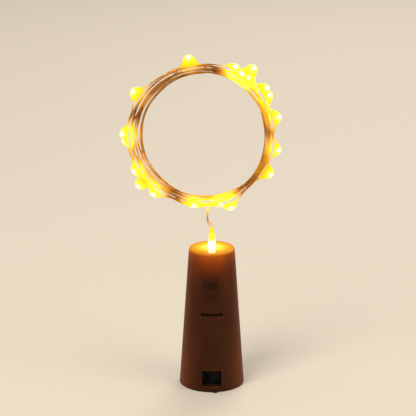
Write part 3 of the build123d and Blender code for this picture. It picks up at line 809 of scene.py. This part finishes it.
def top_glow(tree, from_axis):
    """Colour and strength of the light on the narrow end, which is brightest round the lamp."""
    spread = rise(tree, from_axis, *TOP_GLOW)
    colour = ramp(tree, spread, [
        (0.0, (1.0, 0.34, 0.002)), (0.3, (1.0, 0.54, 0.004)), (0.65, (1.0, 0.8, 0.02)),
        (1.0, (1.0, 0.9, 0.25)),
    ])
    return colour, between(tree, spread, 0.76, 1.31)


def cork_plastic():
    """Translucent brown plastic, lit from its narrow end, with painted shade over parts behind its
    front.
    """
    material, tree, shader = new_material("cork_plastic")
    x, y, z = own_place(tree)
    from_axis = maths(tree, "SQRT", maths(tree, "ADD", times(tree, x, x), times(tree, y, y)))
    # Painted shade, which darkens the colour and dims the light in the wall
    shade = painted_cork_shade(tree, x, y, z, from_axis)
    side_colour, side_strength = side_glow(tree, x, z, shade)
    top_colour, top_strength = top_glow(tree, from_axis)
    on_top = rise(tree, z, *TOP_EDGE)
    step = times(tree, maths(tree, "SUBTRACT", top_strength, side_strength), on_top)
    feed_shader(
        tree, shader, Base_Color=cork_tint_with_painted_light(tree, x, shade),
        Roughness=between(tree, on_top, 0.48, 0.18), Specular_IOR_Level=0.08,
        Subsurface_Weight=0.2, Subsurface_Radius=(2.2 * MM, 0.7 * MM, 0.2 * MM), Subsurface_Scale=1.0,
        Emission_Color=blend_colour(tree, on_top, side_colour, top_colour),
        Emission_Strength=maths(tree, "ADD", side_strength, step))
    roughen(tree, shader, grain(tree, 2600, 2), 0.12, 0.05 * MM)
    return material


# Finishes of the inner pieces
def moulded_plastic(name, dark, light, roughness, specular=0.25):
    """Moulded plastic with a fine satin texture and faint flow in its colour."""
    material, tree, shader = new_material(name)
    tint = mottle(tree, grain(tree, (220, 220, 90), 4), dark, light)
    feed_shader(tree, shader, Base_Color=tint, Roughness=roughness, Specular_IOR_Level=specular)
    roughen(tree, shader, grain(tree, 3200, 2), 0.12, 0.04 * MM)
    return material


def brushed_metal(name, dark, light, streaks):
    """Sheet metal with fine streaks in its colour, its gloss and its surface."""
    material, tree, shader = new_material(name)
    lines = grain(tree, streaks, 4)
    tint = mottle(tree, lines, dark, light)
    feed_shader(tree, shader, Base_Color=tint, Metallic=1.0, Roughness=between(tree, lines, 0.16, 0.38))
    roughen(tree, shader, lines, 0.1, 0.02 * MM)
    return material


def switch_board():
    """Brown paper laminate with short fibres."""
    material, tree, shader = new_material("switch_board")
    fibres = grain(tree, (400, 1600, 1600), 5)
    tint = mottle(tree, fibres, (0.11, 0.05, 0.018), (0.2, 0.1, 0.04), 0.35, 0.65)
    feed_shader(tree, shader, Base_Color=tint, Roughness=0.6)
    return material


def wire_insulation(name, dark, light):
    """Soft vinyl with a low gloss."""
    material, tree, shader = new_material(name)
    feed_shader(tree, shader, Base_Color=mottle(tree, grain(tree, 500), dark, light), Roughness=0.38)
    roughen(tree, shader, grain(tree, 1800, 2), 0.1, 0.03 * MM)
    return material


def hot_glue():
    """Milky glue with small bubbles."""
    material, tree, shader = new_material("hot_glue")
    tint = mottle(tree, grain(tree, 900, 4), (0.5, 0.36, 0.17), (0.68, 0.55, 0.34), 0.35, 0.65)
    feed_shader(
        tree, shader, Base_Color=tint, Roughness=0.3,
        Subsurface_Weight=0.3, Subsurface_Radius=(1.5 * MM, 0.9 * MM, 0.5 * MM), Subsurface_Scale=1.0)
    roughen(tree, shader, grain(tree, 700, 3), 0.3, 0.1 * MM)
    return material


SHEET_STREAKS = (300, 300, 4000)
CELL_STREAKS = (700, 700, 5000)
FINISHES = {
    "cork_plastic": cork_plastic(),
    "inner_plastic": moulded_plastic(
        "inner_plastic", (0.016, 0.0065, 0.0025), (0.028, 0.0115, 0.0045), 0.5, 0.2),
    "contact_metal": brushed_metal("contact_metal", (0.5, 0.48, 0.44), (0.72, 0.7, 0.66), SHEET_STREAKS),
    "spring_brass": brushed_metal("spring_brass", (0.55, 0.34, 0.1), (0.8, 0.57, 0.24), SHEET_STREAKS),
    "cell_steel": brushed_metal("cell_steel", (0.34, 0.34, 0.335), (0.52, 0.52, 0.51), CELL_STREAKS),
    "cell_seal": moulded_plastic("cell_seal", (0.02, 0.02, 0.02), (0.045, 0.045, 0.042), 0.55),
    "switch_black": moulded_plastic(
        "switch_black", (0.003, 0.0028, 0.002), (0.006, 0.0055, 0.004), 0.6, 0.1),
    "switch_board": switch_board(),
    "red_insulation": wire_insulation("red_insulation", (0.38, 0.015, 0.01), (0.55, 0.03, 0.02)),
    "black_insulation": wire_insulation(
        "black_insulation", (0.012, 0.012, 0.012), (0.025, 0.025, 0.025)),
    "hot_glue": hot_glue(),
    "copper_wire": copper_wire(),
    "lamp_epoxy": lamp_epoxy(),
    "lamp_chip": lamp_chip(),
}


def dress(piece, finish):
    piece.data.materials.clear()
    piece.data.materials.append(finish)


for part in frame["record"]["subparts"]:
    dress(frame["nodes"][part["node"]], FINISHES[part["material_slot"]])
for piece in (wire, ring_drops, ring_chips, exit_drop):
    dress(piece, FINISHES[piece["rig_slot"]])


# Floor and light
def make_floor():
    """The light stands on the drawer's base, so the floor goes along when the drawer is pulled out."""
    shape = bmesh.new()
    bmesh.ops.create_grid(shape, x_segments=1, y_segments=1, size=FLOOR_HALF_SIZE)
    mesh = new_mesh("floor", shape)
    floor = bpy.data.objects.new("floor", mesh)
    scene.collection.objects.link(floor)
    material, tree, shader = new_material("floor")
    feed_shader(tree, shader, Base_Color=FLOOR_COLOUR, Roughness=0.8)
    mesh.materials.append(material)
    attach(floor, "drawer")


def add_light(name, place, size, power):
    """A square soft light that faces what the camera looks at."""
    light = bpy.data.lights.new(name, "AREA")
    light.size = size
    light.energy = power
    lamp = bpy.data.objects.new(name, light)
    scene.collection.objects.link(lamp)
    lamp.location = place
    lamp.rotation_mode = "QUATERNION"
    lamp.rotation_quaternion = (LOOK_AT - lamp.location).to_track_quat("-Z", "Y")


def light_world():
    """Soft light from all around, which is seen and mirrored in the tone of the far floor."""
    world = bpy.data.worlds.new("studio")
    world.use_nodes = True
    tree = world.node_tree
    rays = add_node(tree, "ShaderNodeLightPath")
    seen = maths(tree, "MAXIMUM", rays.outputs["Is Camera Ray"], rays.outputs["Is Glossy Ray"])
    seen = maths(tree, "MAXIMUM", seen, rays.outputs["Is Transmission Ray"])
    far_floor = [own * light for own, light in zip(FLOOR_COLOUR, WORLD_COLOUR)]
    background = tree.nodes["Background"]
    tree.links.new(blend_colour(tree, seen, WORLD_COLOUR, far_floor), background.inputs["Color"])
    background.inputs["Strength"].default_value = WORLD_STRENGTH
    scene.world = world


make_floor()
for light in LIGHTS:
    add_light(*light)
light_world()
scene.view_settings.view_transform = "Standard"
